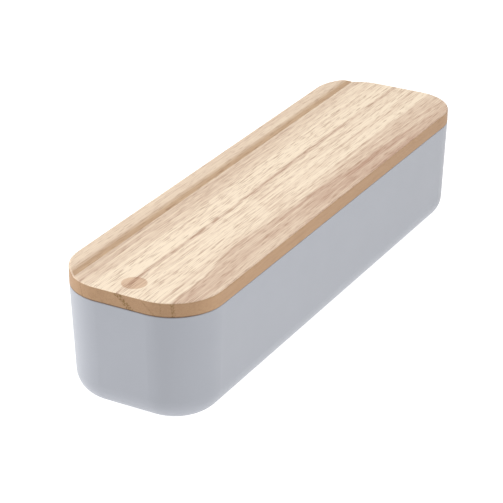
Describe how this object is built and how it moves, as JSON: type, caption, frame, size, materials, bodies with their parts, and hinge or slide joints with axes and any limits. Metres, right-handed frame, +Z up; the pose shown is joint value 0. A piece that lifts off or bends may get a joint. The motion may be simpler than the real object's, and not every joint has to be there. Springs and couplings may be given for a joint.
{
  "type": "cable tray",
  "caption": "Long desk cable tray: a tapered moulded plastic bin with rounded corners under a lift-off wooden lid that has a low raised rail along its back edge.",
  "frame": {"origin": "middle of the footprint, on the surface that the tray stands on", "axes": "+X along the tray's length, +Y towards its back, where the lid's rail and the bin's cable outlet are, +Z up"},
  "size_m": [0.402, 0.107, 0.0901],
  "materials": {
    "bin_plastic": "satin blue-grey moulding",
    "wood_rose": "sanded pinkish-tan paulownia, clear matte coat",
    "wood_cream": "sanded cream paulownia, clear matte coat"
  },
  "bodies": {
    "bin": {"bin": "bin_plastic"},
    "lid": {"lid_stave_front": "wood_rose", "lid_stave_mid_front": "wood_cream", "lid_stave_mid_back": "wood_cream", "lid_stave_back_rail": "wood_rose"}
  },
  "joints": [
    {"name": "lid_lift", "type": "slide", "parent": "bin", "child": "lid", "axis": [0, 0, 1], "range_m": [0, 0.12]}
  ]
}
